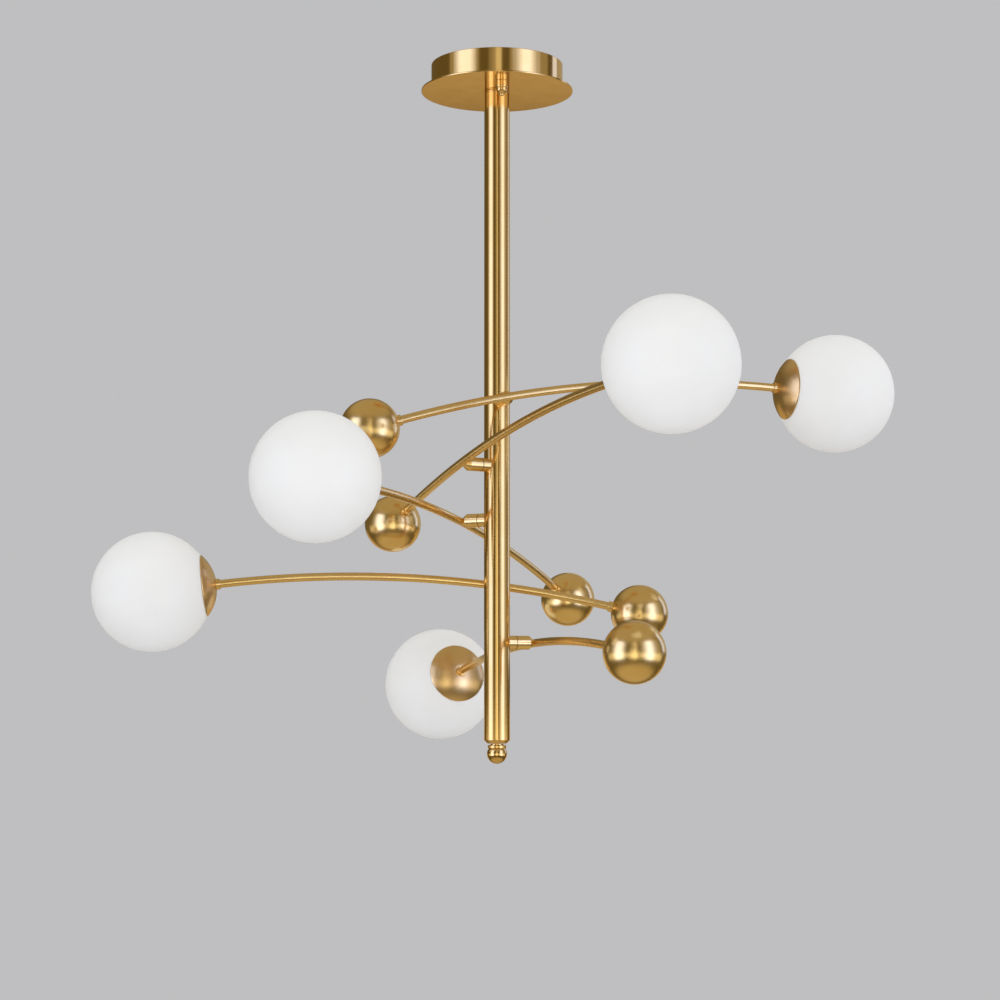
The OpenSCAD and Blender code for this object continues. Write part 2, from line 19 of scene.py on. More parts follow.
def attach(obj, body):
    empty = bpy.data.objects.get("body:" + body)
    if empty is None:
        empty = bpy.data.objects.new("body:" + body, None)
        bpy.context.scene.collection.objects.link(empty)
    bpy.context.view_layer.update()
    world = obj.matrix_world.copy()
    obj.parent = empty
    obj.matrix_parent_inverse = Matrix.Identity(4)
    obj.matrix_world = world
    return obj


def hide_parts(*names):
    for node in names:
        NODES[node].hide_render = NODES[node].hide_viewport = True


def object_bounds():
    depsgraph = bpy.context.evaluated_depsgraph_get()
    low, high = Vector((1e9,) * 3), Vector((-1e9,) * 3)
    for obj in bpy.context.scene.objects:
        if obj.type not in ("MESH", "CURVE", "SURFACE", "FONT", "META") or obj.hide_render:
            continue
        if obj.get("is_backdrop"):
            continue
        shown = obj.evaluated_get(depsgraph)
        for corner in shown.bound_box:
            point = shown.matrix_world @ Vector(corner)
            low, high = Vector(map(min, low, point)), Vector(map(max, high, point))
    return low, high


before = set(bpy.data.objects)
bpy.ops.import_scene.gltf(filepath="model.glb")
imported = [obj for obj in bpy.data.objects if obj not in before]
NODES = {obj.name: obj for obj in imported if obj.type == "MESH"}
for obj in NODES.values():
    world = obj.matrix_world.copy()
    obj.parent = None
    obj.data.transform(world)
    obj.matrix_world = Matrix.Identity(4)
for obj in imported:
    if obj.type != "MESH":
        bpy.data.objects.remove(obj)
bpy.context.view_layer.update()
MM = 0.001

# %% [markdown]
# ## The camera
# The photograph was taken from about the height of the stem's foot, with a long
# lens that looks slightly up. The place and the lens were worked out from the
# globes, the balls and the canopy, so the render lines up with it.


# %% Set the camera
def added(name, data):
    made = bpy.data.objects.new(name, data)
    bpy.context.scene.collection.objects.link(made)
    return made


LOOKS_UP = 5.1
camera_data = bpy.data.cameras.new("camera")
camera_data.lens = 81.0
camera_data.sensor_width = 36.0
camera = added("camera", camera_data)
camera.location = (0.0037, -2.772, -0.796)
camera.rotation_euler = (math.radians(90 + LOOKS_UP), 0, 0)
bpy.context.scene.camera = camera
print("camera at", tuple(camera.location))

# %% [markdown]
# ## The sizes
# The model's own sizes are repeated here in millimetres, as its frame gives
# only boxes. Each arm is the same bent tube; what differs is how low it hangs,
# which way its swivel points, how far it tilts and where the swivel grips it.

# %% Sizes of the fixture
CUP_R, CUP_H, CUP_WALL, CANOPY_HOLE_R = 82.5, 32.0, 1.2, 5.3
PLATE_R, PLATE_Z = 95.0, -34.0
STUD_REACH, BRACKET_TURN = 52.0, -83.5
STEM_R, STEM_IN_R, STEM_TOP, STEM_FOOT = 16.0, 14.0, -36.0, -844.0
FIT_R = 13.95
WASHER_X, HEAD_X, REACH = 24.0, 24.6, 53.0
TUBE_R, BEND_R, ARM_LENGTH = 5.0, 1420.0, 615.0
TUBE_IN_BALL, TUBE_OFF_GLOBE = 12.0, 57.2
BALL_R, BALL_HOLE, COLLAR_R, COLLAR_L = 36.0, 13.0, 6.75, 5.0
GLOBE_R, GLASS, MOUTH_R = 75.0, 2.5, 25.0
DISH_RIM_R, DISH_DEPTH, DISH_WALL, DISH_FLAT_R, DISH_GAP = 38.5, 15.0, 1.0, 8.0, 0.3
END_HOLE_R = 4.95
BALL_FLAT_R = COLLAR_R + 0.2

# %% Sizes that follow from them
BALL_FACE = math.sqrt(BALL_R ** 2 - BALL_FLAT_R ** 2)
DISH_R = (DISH_RIM_R ** 2 + DISH_DEPTH ** 2) / (2 * DISH_DEPTH)
DISH_RIM = math.sqrt((GLOBE_R + DISH_GAP) ** 2 - DISH_RIM_R ** 2) + DISH_WALL
DISH_CENTRE = DISH_RIM + DISH_DEPTH - DISH_R
DISH_FACE = DISH_CENTRE + math.sqrt(DISH_R ** 2 - DISH_FLAT_R ** 2)
GLOBE_STRAIGHT = DISH_FACE + COLLAR_L
BALL_STRAIGHT = BALL_FACE + COLLAR_L

# %% Sizes of the five arms
# drop below the ceiling, turn about the stem, tilt, length on the ball's side
ARMS = {
    1: (426.5, -73.5, 11.1, 180.0),
    2: (506.0, -147.5, 17.5, 178.0),
    3: (573.0, 150.0, 11.1, 296.0),
    4: (652.0, 92.5, 7.2, 185.0),
    5: (724.5, 22.5, -1.9, 278.0),
}
print("dish face", round(DISH_FACE, 2), "ball face", round(BALL_FACE, 2))

# %% [markdown]
# ## Places
# A lathe works about its own axis, so each piece is made upright at the origin
# and then carried to its place by a matrix. The matrices follow the same chain
# as the real assembly: stem, swivel, tube, and the end of the tube.


# %% Matrices for the chain of places
def shift(x=0.0, y=0.0, z=0.0):
    return Matrix.Translation((x * MM, y * MM, z * MM))


def turn(degrees, axis):
    return Matrix.Rotation(math.radians(degrees), 4, axis)


def at_swivel(i):
    drop, facing, _, _ = ARMS[i]
    return shift(z=-drop) @ turn(facing, "Z")


def at_pivot(i):
    return at_swivel(i) @ shift(x=REACH) @ turn(ARMS[i][2], "X")


def along(length):
    bend = math.degrees(length / BEND_R)
    return shift(z=-BEND_R) @ turn(-bend, "X") @ shift(z=BEND_R)


# %% Where the bend of a tube ends, and what sits beyond it
def globe_length(i):
    return ARM_LENGTH - ARMS[i][3] - GLOBE_STRAIGHT


def ball_length(i):
    return BALL_STRAIGHT - ARMS[i][3]


def at_globe(i):
    return at_pivot(i) @ along(globe_length(i)) @ shift(y=GLOBE_STRAIGHT) @ turn(90, "X")


def at_ball(i):
    return at_pivot(i) @ along(ball_length(i)) @ shift(y=-BALL_STRAIGHT) @ turn(-90, "X")


for i in ARMS:
    print("arm", i, "globe at", [round(v, 3) for v in at_globe(i).translation])

# %% [markdown]
# ## A lathe
# The drum, the stem, the balls, the dishes and the globes are all turned or
# spun, so one small lathe makes them: it rounds the corners of a drawn outline
# and turns it about the axis. An outline is a list of points, each with its
# distance from the axis, its height and, where a corner is rounded, how far
# back the rounding starts. A short extra step beside each rounded corner holds
# the flat faces flat, or the shine would bend across them.
#
# Every point keeps its place on the lathe in an attribute called grain, which
# the finishes use later for lines that run round the piece.

# %% Round the corners of an outline
CORNER_SHARE, CORNER_DEGREES = 0.45, 15
HOLD_STEP, HOLD_FROM = 0.12, 1.5


def rounded(outline, closed):
    points, count = [], len(outline)
    for n, (r, z, *fillet) in enumerate(outline):
        here = Vector((r, z))
        if not fillet or (not closed and n in (0, count - 1)):
            points.append(here)
            continue
        before = Vector(outline[n - 1][:2]) - here
        after = Vector(outline[(n + 1) % count][:2]) - here
        back, on = before.normalized(), after.normalized()
        reach = min(fillet[0], before.length * CORNER_SHARE, after.length * CORNER_SHARE)
        half = before.angle(after) / 2
        centre = here + (back + on).normalized() * (reach / math.cos(half))
        start, end = here + back * reach - centre, here + on * reach - centre
        sweep = start.angle_signed(end)
        steps = max(3, math.ceil(abs(math.degrees(sweep)) / CORNER_DEGREES))
        if before.length > HOLD_FROM:
            points.append(here + back * (reach + HOLD_STEP))
        for k in range(steps + 1):
            a = -sweep * k / steps
            points.append(centre + Vector((start.x * math.cos(a) - start.y * math.sin(a),
                                           start.x * math.sin(a) + start.y * math.cos(a))))
        if after.length > HOLD_FROM:
            points.append(here + on * (reach + HOLD_STEP))
    return points


# %% Draw a round part of an outline
def on_circle(radius, angle, centre):
    return radius * math.sin(angle), centre + radius * math.cos(angle)


def arc(radius, start, end, steps, centre=0.0):
    return [on_circle(radius, start + (end - start) * k / steps, centre) for k in range(steps + 1)]


# %% Turn an outline about the upright axis
ON_AXIS = 1e-6


def lathe(outline, closed=True, sides=64):
    shape = bmesh.new()
    grain = shape.verts.layers.float_vector.new("grain")
    rings = []
    for p in rounded(outline, closed):
        if p.x < ON_AXIS:
            rings.append([shape.verts.new((0, 0, p.y * MM))] * sides)
            continue
        rings.append([shape.verts.new((p.x * MM * math.cos(a), p.x * MM * math.sin(a), p.y * MM))
                      for a in (math.tau * k / sides for k in range(sides))])
    pairs = list(zip(rings, rings[1:])) + ([(rings[-1], rings[0])] if closed else [])
    for low, high in pairs:
        for k in range(sides):
            corners = [low[k], low[(k + 1) % sides], high[(k + 1) % sides], high[k]]
            corners = [v for n, v in enumerate(corners) if v not in corners[:n]]
            if len(corners) > 2:
                shape.faces.new(corners)
    bmesh.ops.recalc_face_normals(shape, faces=shape.faces)
    for v in shape.verts:
        v[grain] = v.co
    return shape


# %% [markdown]
# Faces are shaded smooth, and an edge stays sharp only where two faces meet at
# more than a given angle.
#
# A finished piece must keep its object at the origin, so the place goes into
# the points themselves. The last helpers parent the piece to an empty for the
# body that carries it and hide the engineering solid that it stands for.

# %% Make a mesh of a shape
SHARP, NEVER_SHARP = 40, 180


def as_mesh(shape, name, sharp=SHARP):
    for face in shape.faces:
        face.smooth = True
    for edge in shape.edges:
        edge.smooth = len(edge.link_faces) == 2 and edge.calc_face_angle(0) < math.radians(sharp)
    mesh = bpy.data.meshes.new(name)
    shape.to_mesh(mesh)
    shape.free()
    return mesh


def as_pattern(shape, name, sharp=SHARP):
    return bpy.data.objects.new(name, as_mesh(shape, name, sharp))


# %% Put a piece in its place and join it to the frame
PIECES = {}


def joined(piece, name, body, node):
    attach(piece, body)
    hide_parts(node)
    PIECES[name] = piece
    return piece


def settle(shape, name, body, node, place=None, sharp=SHARP):
    if place is not None:
        bmesh.ops.transform(shape, matrix=place, verts=shape.verts)
    return joined(added(name, as_mesh(shape, name, sharp)), name, body, node)


# %% [markdown]
# ## The canopy
# The drum is a pressed cup, open to the ceiling, with slightly rounded edges. A
# wider thin disc closes it from below. Cylinders with a bevel would look alike,
# but turned outlines give the sheet its thickness and the edges their rounding
# at once.

# %% Turn the drum and the disc
cup = [(CANOPY_HOLE_R, -CUP_H + CUP_WALL), (CUP_R - CUP_WALL, -CUP_H + CUP_WALL, 1.2),
       (CUP_R - CUP_WALL, 0, 0.3), (CUP_R, 0, 0.5), (CUP_R, -CUP_H, 0.6), (CANOPY_HOLE_R, -CUP_H)]
disc = [(CANOPY_HOLE_R, -CUP_H), (PLATE_R, -CUP_H, 0.5), (PLATE_R, PLATE_Z, 0.5), (CANOPY_HOLE_R, PLATE_Z)]
drum = settle(lathe(cup, sides=192), "drum", "fixture", "canopy_cup")
cover_disc = settle(lathe(disc, sides=192), "cover_disc", "fixture", "canopy_plate")
print("drum", len(drum.data.polygons), "faces, disc", len(cover_disc.data.polygons))

# %% [markdown]
# ## The cap nuts
# Two domed cap nuts hold the canopy on its studs; one shows at the front. One
# nut is turned, and Geometry Nodes sets a copy at each stud. The tree has the
# two studs' places as named inputs, and ends in plain faces, because the
# closing export drops instances.


# %% A small builder for Geometry Nodes trees
class Tree:
    def __init__(self, name):
        self.group = bpy.data.node_groups.new(name, "GeometryNodeTree")
        for side in ("INPUT", "OUTPUT"):
            self.group.interface.new_socket("Geometry", in_out=side, socket_type="NodeSocketGeometry")
        self.start = self.group.nodes.new("NodeGroupInput")
        self.end = self.group.nodes.new("NodeGroupOutput")

    def size(self, name, kind="NodeSocketFloat"):
        self.group.interface.new_socket(name, in_out="INPUT", socket_type=kind)
        return self.start.outputs[name]

    def node(self, kind, settings=None, inputs=None, out=0):
        made = self.group.nodes.new(kind)
        for key, value in (settings or {}).items():
            setattr(made, key, value)
        for key, value in (inputs or {}).items():
            if isinstance(value, bpy.types.NodeSocket):
                self.group.links.new(value, made.inputs[key])
            else:
                made.inputs[key].default_value = value
        return made.outputs[out]

    def stored(self, geometry, name, value, kind):
        return self.node("GeometryNodeStoreNamedAttribute", {"data_type": kind, "domain": "POINT"}, {
            "Geometry": geometry, "Name": name, "Value": value})

    def recalled(self, name, kind):
        return self.node("GeometryNodeInputNamedAttribute", {"data_type": kind}, {"Name": name})

    def finish(self, geometry, material):
        real = self.node("GeometryNodeRealizeInstances", inputs={"Geometry": geometry})
        real = self.node("GeometryNodeSetMaterial", inputs={"Geometry": real, "Material": material})
        self.group.links.new(real, self.end.inputs["Geometry"])

    def apply(self, piece, sizes):
        modifier = piece.modifiers.new("made", "NODES")
        modifier.node_group = self.group
        for item in self.group.interface.items_tree:
            if item.item_type == "SOCKET" and item.in_out == "INPUT" and item.name in sizes:
                modifier[item.identifier] = sizes[item.name]
        graph = bpy.context.evaluated_depsgraph_get()
        mesh = bpy.data.meshes.new_from_object(piece.evaluated_get(graph))
        piece.modifiers.clear()
        piece.data = mesh


# %% [markdown]
# ## Finishes come first
# A tree needs its material when it is built, so the brass is mixed here. The
# maths of a pattern is easier to read as an expression than as a chain of
# nodes, so a small class wraps a socket and adds the Math nodes for + - and *.


# %% Wires that add up as expressions
class Wire:
    def __init__(self, finish, socket):
        self.finish, self.socket = finish, socket

    def math(self, operation, a, b=0.0):
        return self.finish.node("ShaderNodeMath", {"operation": operation}, {0: a, 1: b})

    def __add__(self, other):
        return self.math("ADD", self, other)

    def __radd__(self, other):
        return self.math("ADD", other, self)

    def __sub__(self, other):
        return self.math("SUBTRACT", self, other)

    def __mul__(self, other):
        return self.math("MULTIPLY", self, other)

    def __rmul__(self, other):
        return self.math("MULTIPLY", other, self)

    def root(self):
        return self.math("SQRT", self)

    def clamped(self, low=0.0, high=1.0):
        return self.math("MINIMUM", self.math("MAXIMUM", self, low), high)


# %% One method for every other node, and short names for the usual ones
NOISE_LOW, NOISE_MIDDLE, NOISE_HIGH = 0.3, 0.5, 0.7
DETAIL = 3.0


class Finish:
    def __init__(self, name):
        self.material = bpy.data.materials.new(name)
        self.material.use_nodes = True
        self.tree = self.material.node_tree
        self.tree.nodes.clear()

    def node(self, kind, settings=None, inputs=None, out=0):
        made = self.tree.nodes.new(kind)
        for key, value in (settings or {}).items():
            setattr(made, key, value)
        for key, value in (inputs or {}).items():
            if isinstance(value, Wire):
                self.tree.links.new(value.socket, made.inputs[key])
            else:
                made.inputs[key].default_value = value
        return Wire(self, made.outputs[out])

    def grain(self):
        kept = self.node("ShaderNodeAttribute", {"attribute_name": "grain"}, out="Vector")
        return [self.node("ShaderNodeSeparateXYZ", inputs={0: kept}, out=n) for n in range(3)]

    def noise(self, x, y, z, roughness=0.5):
        where = self.node("ShaderNodeCombineXYZ", inputs={0: x, 1: y, 2: z})
        return self.node("ShaderNodeTexNoise", inputs={
            "Vector": where, "Scale": 1.0, "Detail": DETAIL, "Roughness": roughness})

    def place(self):
        return self.node("ShaderNodeTexCoord", out="Object")

    def speckle(self, scale, detail=DETAIL):
        return self.node("ShaderNodeTexNoise", inputs={
            "Vector": self.place(), "Scale": scale, "Detail": detail})

    def spread(self, value, low=0.0, high=1.0):
        return self.node("ShaderNodeMapRange", inputs={
            "Value": value, "From Min": NOISE_LOW, "From Max": NOISE_HIGH, "To Min": low, "To Max": high})

    def blend(self, share, one, other):
        return self.node("ShaderNodeMix", {"data_type": "RGBA"}, {0: share, 6: one, 7: other}, out=2)

    def bump(self, height, depth):
        return self.node("ShaderNodeBump", inputs={"Height": height, "Distance": depth, "Strength": 1.0})

    def surface(self, **sockets):
        shader = self.node("ShaderNodeBsdfPrincipled",
                           inputs={k.replace("_", " "): v for k, v in sockets.items()})
        end = self.tree.nodes.new("ShaderNodeOutputMaterial")
        self.tree.links.new(shader.socket, end.inputs["Surface"])
        return self.material


# %% [markdown]
# ## Brass
# Polished brass is never a perfect mirror. A lathe leaves fine lines round the
# piece, a cloth leaves soft cloudy patches, and lacquer warms the colour where
# it lies thicker. The lines come from noise that is stretched round the axis:
# it reads the distance from the axis and the height closely, one to three times
# a millimetre, and hardly changes along the circle.

# %% Mix a brass
ROUND_THE_CIRCLE, CLOUDS, LINE_SHARE = 14.0, 38.0, 0.8
SMOOTHEST, ROUGHEST = 0.03, 0.9


def brass(name, colour, shade, roughness, spread, lines, depth):
    finish = Finish(name)
    x, y, z = finish.grain()
    radius = (x * x + y * y).root()
    turned = finish.noise(radius * lines, z * lines, x * ROUND_THE_CIRCLE, roughness=0.65)
    cloud = finish.noise(x * CLOUDS, y * CLOUDS, z * CLOUDS)
    cloudy, lined = cloud - NOISE_MIDDLE, turned - NOISE_MIDDLE
    rough = roughness + spread * cloudy + spread * LINE_SHARE * lined
    return finish.surface(
        Base_Color=finish.blend(finish.spread(cloud), colour, shade), Metallic=1.0,
        Roughness=rough.clamped(SMOOTHEST, ROUGHEST), Normal=finish.bump(turned, depth))


polished = brass("polished_brass", (0.84, 0.56, 0.21, 1), (0.80, 0.52, 0.18, 1),
                 roughness=0.12, spread=0.05, lines=2600, depth=0.00001)
satin = brass("satin_brass", (0.93, 0.66, 0.28, 1), (0.87, 0.60, 0.23, 1),
              roughness=0.23, spread=0.12, lines=1500, depth=0.00003)
spun = brass("spun_brass", (0.88, 0.61, 0.28, 1), (0.81, 0.54, 0.23, 1),
             roughness=0.30, spread=0.12, lines=1100, depth=0.00005)
print("mixed", polished.name, satin.name, spun.name)

# %% Turn one cap nut
nut = [(0, -11.95), (2.05, -11.95), (2.05, 0), (8, 0, 0.4), (8, -7.9, 0.7), (6.9, -9.3, 0.5),
       (7.1, -11.2, 1.8), (5.6, -14.2, 2.0), (3.0, -16.6, 0.8), (2.6, -18.2, 0.5), (1.4, -19, 0.5),
       (0, -19)]
nut_pattern = as_pattern(lathe(nut, closed=False, sides=48), "cap_nut_pattern", NEVER_SHARP)
print("one cap nut", len(nut_pattern.data.polygons), "faces")

# %% Set a nut at each stud with Geometry Nodes
studs = Tree("nuts_at_studs")
one_stud, other_stud = (studs.size(side, "NodeSocketVector") for side in ("One Stud", "Other Stud"))
row = studs.node("GeometryNodeMeshLine", {"mode": "END_POINTS"}, {
    "Count": 2, "Start Location": one_stud, "Offset": other_stud})
pattern = studs.node("GeometryNodeObjectInfo", inputs={"Object": nut_pattern}, out="Geometry")
copies = studs.node("GeometryNodeInstanceOnPoints", inputs={"Points": row, "Instance": pattern})
studs.finish(copies, polished)
nut_pair = added("cap_nut_pair", bpy.data.meshes.new("cap_nut_pair"))
studs.apply(nut_pair, {"One Stud": (STUD_REACH * MM, 0, 0), "Other Stud": (-STUD_REACH * MM, 0, 0)})
nut_pair.data.transform(shift(z=PLATE_Z) @ turn(BRACKET_TURN, "Z"))
joined(nut_pair, "cap_nut_pair", "fixture", "cap_nuts")
print("cap nuts", len(nut_pair.data.polygons), "faces")

# %% [markdown]
# ## The stem
# A long straight tube hangs from a plug whose thin rim shows as a bright line,
# and ends in a bevelled foot with a ring and a small ball. The rim and the bevel
# are drawn in the outlines, so that real faces catch the light there.

# %% Draw the stem, its plug and its foot
PLUG_HOLE_R, PLUG_NECK_R, PLUG_TOP, PLUG_END = 3.5, 5.0, -17.8, -52.0
FOOT_HOLE_R, FOOT_BEVEL_R, FOOT_START, FOOT_END = 3.05, 12.0, -828.0, -848.0
tube = [(STEM_IN_R, STEM_TOP), (STEM_R, STEM_TOP, 0.5), (STEM_R, STEM_FOOT, 0.4), (STEM_IN_R, STEM_FOOT)]
plug = [(PLUG_HOLE_R, PLUG_TOP), (PLUG_NECK_R, PLUG_TOP, 0.4), (PLUG_NECK_R, PLATE_Z),
        (STEM_R, PLATE_Z, 0.7), (STEM_R, STEM_TOP, 0.7), (FIT_R, STEM_TOP), (FIT_R, PLUG_END),
        (PLUG_HOLE_R, PLUG_END)]
foot = [(FOOT_HOLE_R, FOOT_START), (FIT_R, FOOT_START, 0.5), (FIT_R, STEM_FOOT),
        (STEM_R, STEM_FOOT, 0.4), (FOOT_BEVEL_R, FOOT_END, 0.6), (FOOT_HOLE_R, FOOT_END)]
print("stem tube", STEM_TOP - STEM_FOOT, "mm long")

# %% Draw the finial: a pin, a ring and a ball
PIN_R, PIN_TOP, PIN_END = 3.0, -838.0, -848.6
NECK_R, RING_R, RING_TOP, RING_END = 8.0, 11.4, -850.0, -853.5
DROP_R, DROP_CENTRE, DROP_FROM, DROP_TO = 12.3, -860.5, 57, 177
drop_ball = arc(DROP_R, math.radians(DROP_FROM), math.radians(DROP_TO), 40, DROP_CENTRE)
knob = [(0, PIN_TOP), (PIN_R, PIN_TOP, 0.4), (PIN_R, PIN_END), (NECK_R, PIN_END),
        (NECK_R, RING_TOP, 0.2), (RING_R, RING_TOP, 0.9), (RING_R, RING_END, 0.9), *drop_ball,
        (0, DROP_CENTRE - DROP_R)]
print("finial ends", DROP_R - DROP_CENTRE, "mm below the ceiling")

# %% Turn all four
for outline, name, node in ((tube, "stem", "stem_tube"), (plug, "stem_plug", "stem_top_plug"),
                            (foot, "stem_foot", "stem_end_cap")):
    settle(lathe(outline, sides=128), name, "fixture", node)
settle(lathe(knob, closed=False, sides=96), "finial_ball", "fixture", "finial")
print("stem", len(PIECES["stem"].data.polygons), "faces")

# %% [markdown]
# ## The swivels
# A short base stands on the stem like a saddle, so its inner edge follows the
# round of the tube. At its outer end a dark friction washer shows as a thin
# line, and then comes the head that turns with the arm. Cutting the base with
# the stem would leave ragged faces, so the rings of points at that edge are
# moved onto the round of the stem instead. The five bases and washers are alike,
# so Geometry Nodes sets them: five points carry the height and the facing of
# each swivel.

# %% Turn one base and bend its saddle to the stem
BASE_HOLE_R, BASE_PIN_R, BASE_R, HEAD_PIN_R = 2.5, 4.0, 8.5, 5.0
PIN_START, SADDLE_IN, SADDLE_OUT, EDGE, HEAD_PIN_END = 5.5, 15.0, 15.9, 16.4, 32.0
EDGE_STEP, NEAR = 0.4, 0.1


def swivel_base():
    outline = [(BASE_HOLE_R, PIN_START), (BASE_PIN_R, PIN_START, 0.3), (BASE_PIN_R, SADDLE_IN),
               (BASE_R, SADDLE_OUT), (BASE_R, EDGE), (BASE_R, WASHER_X, 0.3), (HEAD_PIN_R, WASHER_X),
               (HEAD_PIN_R, HEAD_PIN_END, 0.4), (BASE_HOLE_R, HEAD_PIN_END)]
    shape = lathe(outline)
    bmesh.ops.transform(shape, matrix=turn(90, "Y"), verts=shape.verts)
    for v in shape.verts:
        on_stem = math.sqrt((STEM_R * MM) ** 2 - v.co.y ** 2)
        if (SADDLE_IN - NEAR) * MM < v.co.x < (SADDLE_OUT + NEAR) * MM:
            v.co.x = on_stem
        elif abs(v.co.x - EDGE * MM) < NEAR * MM:
            v.co.x = on_stem + EDGE_STEP * MM
    return shape


base_pattern = as_pattern(swivel_base(), "base_pattern")
print("one base", len(base_pattern.data.polygons), "faces")

# %% [markdown]
# The washer is a thin dark fibre ring. It ends a hair before the head, so that
# no two faces lie in one plane. Its finish is nearly black and matte, with a
# fine speckle so that it doesn't look painted.

# %% Turn one washer
WASHER_IN_R, WASHER_R, WASHER_END = 5.05, 8.0, HEAD_X - 0.02
ring = lathe([(WASHER_IN_R, WASHER_X), (WASHER_R, WASHER_X, 0.1), (WASHER_R, WASHER_END, 0.1),
              (WASHER_IN_R, WASHER_END)])
bmesh.ops.transform(ring, matrix=turn(90, "Y"), verts=ring.verts)
washer_pattern = as_pattern(ring, "washer_pattern")
print("washer", round(WASHER_END - WASHER_X, 2), "mm thick")

# %% Mix the dark fibre
fibre = Finish("washer_fibre")
flecks = fibre.speckle(2500.0, detail=2.0)
washer_fibre = fibre.surface(
    Base_Color=fibre.blend(flecks, (0.012, 0.009, 0.006, 1), (0.045, 0.033, 0.02, 1)),
    Roughness=fibre.spread(flecks, 0.55, 0.8), Normal=fibre.bump(flecks, 0.00003))
print("mixed", washer_fibre.name)


# %% Set the bases and the washers at the five swivels
def at_swivels(name, pattern, material, node):
    points = bpy.data.meshes.new(name)
    points.from_pydata([(0, 0, -drop * MM) for drop, _, _, _ in ARMS.values()], [], [])
    facing = points.attributes.new("facing", "FLOAT_VECTOR", "POINT")
    for n, (_, degrees, _, _) in enumerate(ARMS.values()):
        facing.data[n].vector = (0, 0, math.radians(degrees))
    piece = added(name, points)
    tree = Tree(name + "_tree")
    size = tree.size("Size")
    spin = tree.node("FunctionNodeEulerToRotation", inputs={0: tree.recalled("facing", "FLOAT_VECTOR")})
    one = tree.node("GeometryNodeObjectInfo", inputs={"Object": pattern}, out="Geometry")
    copies = tree.node("GeometryNodeInstanceOnPoints", inputs={
        "Points": tree.start.outputs["Geometry"], "Instance": one, "Rotation": spin, "Scale": size})
    tree.finish(copies, material)
    tree.apply(piece, {"Size": 1.0})
    joined(piece, name, "fixture", node)
    print(name, len(piece.data.polygons), "faces")


at_swivels("swivel_saddles", base_pattern, satin, "swivel_bases")
at_swivels("swivel_washers", washer_pattern, washer_fibre, "friction_washers")

# %% [markdown]
# ## The swivel heads
# A head is a plain barrel that a cone narrows to a small tip, where the tube
# lies across in a round seat. The engineering solid already has that shape. A
# copy of it is merged, shaded smooth where the surface is round, and given
# small bevels on its edges to catch the light.

# %% Dress a copy of each engineering solid
HEAD_BEVEL, HEAD_SHARP, FLAT_DEGREES, SAME_POINT = 0.25, 28, 0.5, 0.00001


def dressed_head(i):
    node = f"swivel_head_{i}"
    shape = bmesh.new()
    shape.from_mesh(NODES[node].data)
    bmesh.ops.remove_doubles(shape, verts=shape.verts, dist=SAME_POINT)
    bmesh.ops.dissolve_limit(shape, angle_limit=math.radians(FLAT_DEGREES),
                             verts=shape.verts, edges=shape.edges)
    grain = shape.verts.layers.float_vector.new("grain")
    home = (at_swivel(i) @ turn(90, "Y")).inverted()
    for v in shape.verts:
        v[grain] = home @ v.co
    piece = settle(shape, f"swivel_{i}", f"arm_{i}", node, sharp=HEAD_SHARP)
    soft = piece.modifiers.new("bevel", "BEVEL")
    soft.width, soft.segments = HEAD_BEVEL * MM, 2
    soft.limit_method, soft.angle_limit = "ANGLE", math.radians(HEAD_SHARP)
    soft.harden_normals = True
    return len(piece.data.polygons)


print("heads", [dressed_head(i) for i in ARMS])

# %% [markdown]
# ## The arms
# Every arm is one bent tube: straight at both ends, where it runs into the ball
# and the globe's dish, and bent to one large circle between them. That is a
# rule, so Geometry Nodes draws it: points on a line are moved to where the bend
# puts them, and a circle is swept along the line. The tree keeps the place on
# the circle and along the tube in the grain, for lines that run with the tube.

# %% A tree that bends a line
RAIL_POINTS = 160
bender = Tree("bent_tube")
low, high = bender.size("Ball End"), bender.size("Globe End")
bend_low, bend_high = bender.size("Bend Start"), bender.size("Bend End")
bend, thick = bender.size("Bend Radius"), bender.size("Tube Radius")
around = bender.size("Sides", "NodeSocketInt")


def sums(operation, a, b=0.0):
    return bender.node("ShaderNodeMath", {"operation": operation}, {0: a, 1: b})


rail = bender.node("GeometryNodeMeshLine", {"mode": "END_POINTS"}, {
    "Count": RAIL_POINTS, "Start Location": (0, 0, 0), "Offset": (0, 0, 1)})
share = sums("DIVIDE", bender.node("GeometryNodeInputIndex"), float(RAIL_POINTS - 1))
length = sums("ADD", low, sums("MULTIPLY", share, sums("SUBTRACT", high, low)))
held = sums("MINIMUM", sums("MAXIMUM", length, bend_low), bend_high)
over = sums("SUBTRACT", length, held)
angle = sums("DIVIDE", held, bend)
place_y = sums("ADD", sums("MULTIPLY", bend, sums("SINE", angle)),
               sums("MULTIPLY", over, sums("COSINE", angle)))
place_z = sums("SUBTRACT", sums("MULTIPLY", bend, sums("SUBTRACT", sums("COSINE", angle), 1.0)),
               sums("MULTIPLY", over, sums("SINE", angle)))
spot = bender.node("ShaderNodeCombineXYZ", inputs={0: 0.0, 1: place_y, 2: place_z})
rail = bender.node("GeometryNodeSetPosition", inputs={"Geometry": rail, "Position": spot})

